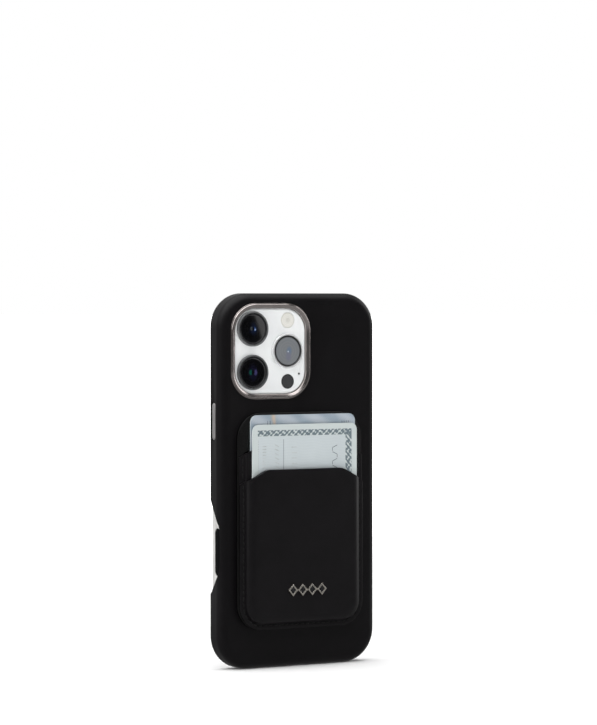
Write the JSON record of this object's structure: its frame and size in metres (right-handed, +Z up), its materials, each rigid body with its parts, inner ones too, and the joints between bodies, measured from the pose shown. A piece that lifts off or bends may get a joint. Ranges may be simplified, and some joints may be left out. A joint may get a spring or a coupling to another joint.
{
  "type": "phone wallet case",
  "caption": "Leather-covered phone case with a camera window, pressing side buttons and a magnetic leather card wallet that pulls off its back, holding cards and a phone.",
  "frame": {"origin": "centre of the part's box at its bottom edge, where the case stands", "axes": "+Z up along the case, +X to the right as seen from behind, -Y the way the back and its wallet face, +Y out of the phone's screen"},
  "size_m": [0.0806, 0.018, 0.166],
  "materials": {
    "case_leather": "smooth black full-grain leather, semi-matt",
    "shell_plastic": "black moulded polycarbonate",
    "lining": "dark microfibre",
    "magnet_metal": "nickel-plated magnet segments",
    "bezel_metal": "satin gunmetal, warm grey",
    "button_metal": "satin grey anodised",
    "button_foot": "black plastic",
    "phone_band": "satin pale metal",
    "phone_inside": "sealed block",
    "phone_white": "white gloss glass",
    "display": "black gloss glass",
    "lens_metal": "dark satin metal",
    "lens_glass": "dark coated lens glass",
    "flash_lens": "cream diffuser",
    "sensor_window": "dark grey window",
    "touch_control": "black gloss",
    "port_metal": "steel",
    "wallet_leather": "smooth black leather, semi-matt",
    "wallet_board": "black fibre board",
    "thread": "black waxed thread",
    "badge_metal": "polished gunmetal",
    "badge_inlay": "black enamel",
    "card_front": "pale grey-green printed card",
    "card_back": "blue-grey printed card"
  },
  "bodies": {
    "case": {"case_leather": "case_leather", "case_shell": "shell_plastic", "case_lining": "lining", "case_magnets": "magnet_metal", "case_align_magnet": "magnet_metal", "camera_ring": "bezel_metal"},
    "button_side": {"side_button": "button_metal", "side_button_foot": "button_foot"},
    "button_action": {"action_button": "button_metal", "action_button_foot": "button_foot"},
    "button_volume_up": {"volume_up_button": "button_metal", "volume_up_button_foot": "button_foot"},
    "button_volume_down": {"volume_down_button": "button_metal", "volume_down_button_foot": "button_foot"},
    "phone": {"phone_band": "phone_band", "phone_core": "phone_inside", "phone_back_glass": "phone_white", "phone_display": "display", "charge_port": "port_metal", "camera_plateau": "phone_white", "flash_lens": "flash_lens", "depth_sensor": "sensor_window", "rear_microphone": "sensor_window", "lens_ring_1": "lens_metal", "lens_ring_2": "lens_metal", "lens_ring_3": "lens_metal", "lens_glass_1": "lens_glass", "lens_glass_2": "lens_glass", "lens_glass_3": "lens_glass"},
    "key_side": {"side_key": "phone_band"},
    "key_action": {"action_key": "phone_band"},
    "key_volume_up": {"volume_up_key": "phone_band"},
    "key_volume_down": {"volume_down_key": "phone_band"},
    "control": {"camera_control": "touch_control"},
    "wallet": {"wallet_back": "wallet_leather", "wallet_core": "wallet_board", "wallet_magnets": "magnet_metal", "wallet_align_magnet": "magnet_metal", "shield_plate": "magnet_metal", "wallet_lining": "wallet_leather", "wallet_divider": "wallet_leather", "wallet_front": "wallet_leather", "front_seam": "thread", "divider_seam_left": "thread", "divider_seam_right": "thread", "badge_rail": "badge_metal", "badge_inlay_1": "badge_inlay", "badge_inlay_2": "badge_inlay", "badge_inlay_3": "badge_inlay", "badge_inlay_4": "badge_inlay"},
    "front_card": {"card_front": "card_front"},
    "back_card": {"card_back": "card_back"}
  },
  "joints": [
    {"name": "side_button_press", "type": "slide", "parent": "case", "child": "button_side", "axis": [1, 0, 0], "range_m": [0, 0.0002], "stiffness_N_per_m": 3000},
    {"name": "action_button_press", "type": "slide", "parent": "case", "child": "button_action", "axis": [-1, 0, 0], "range_m": [0, 0.0002], "stiffness_N_per_m": 3000},
    {"name": "volume_up_button_press", "type": "slide", "parent": "case", "child": "button_volume_up", "axis": [-1, 0, 0], "range_m": [0, 0.0002], "stiffness_N_per_m": 3000},
    {"name": "volume_down_button_press", "type": "slide", "parent": "case", "child": "button_volume_down", "axis": [-1, 0, 0], "range_m": [0, 0.0002], "stiffness_N_per_m": 3000},
    {"name": "phone_slide", "type": "slide", "parent": "case", "child": "phone", "axis": [0, 1, 0], "range_m": [0, 0.025]},
    {"name": "side_key_press", "type": "slide", "parent": "phone", "child": "key_side", "axis": [1, 0, 0], "range_m": [0, 0.0002]},
    {"name": "action_key_press", "type": "slide", "parent": "phone", "child": "key_action", "axis": [-1, 0, 0], "range_m": [0, 0.0002]},
    {"name": "volume_up_key_press", "type": "slide", "parent": "phone", "child": "key_volume_up", "axis": [-1, 0, 0], "range_m": [0, 0.0002]},
    {"name": "volume_down_key_press", "type": "slide", "parent": "phone", "child": "key_volume_down", "axis": [-1, 0, 0], "range_m": [0, 0.0002]},
    {"name": "camera_control_press", "type": "slide", "parent": "phone", "child": "control", "axis": [1, 0, 0], "range_m": [0, 0.00015], "stiffness_N_per_m": 3000},
    {"name": "wallet_pull", "type": "slide", "parent": "case", "child": "wallet", "axis": [0, -1, 0], "range_m": [0, 0.03]},
    {"name": "front_card_slide", "type": "slide", "parent": "wallet", "child": "front_card", "axis": [0, 0, 1], "range_m": [0, 0.066]},
    {"name": "back_card_slide", "type": "slide", "parent": "wallet", "child": "back_card", "axis": [0, 0, 1], "range_m": [0, 0.074]}
  ],
  "couplings": [
    {"joint": "side_key_press", "follows": "side_button_press", "ratio": 1},
    {"joint": "action_key_press", "follows": "action_button_press", "ratio": 1},
    {"joint": "volume_up_key_press", "follows": "volume_up_button_press", "ratio": 1},
    {"joint": "volume_down_key_press", "follows": "volume_down_button_press", "ratio": 1}
  ]
}
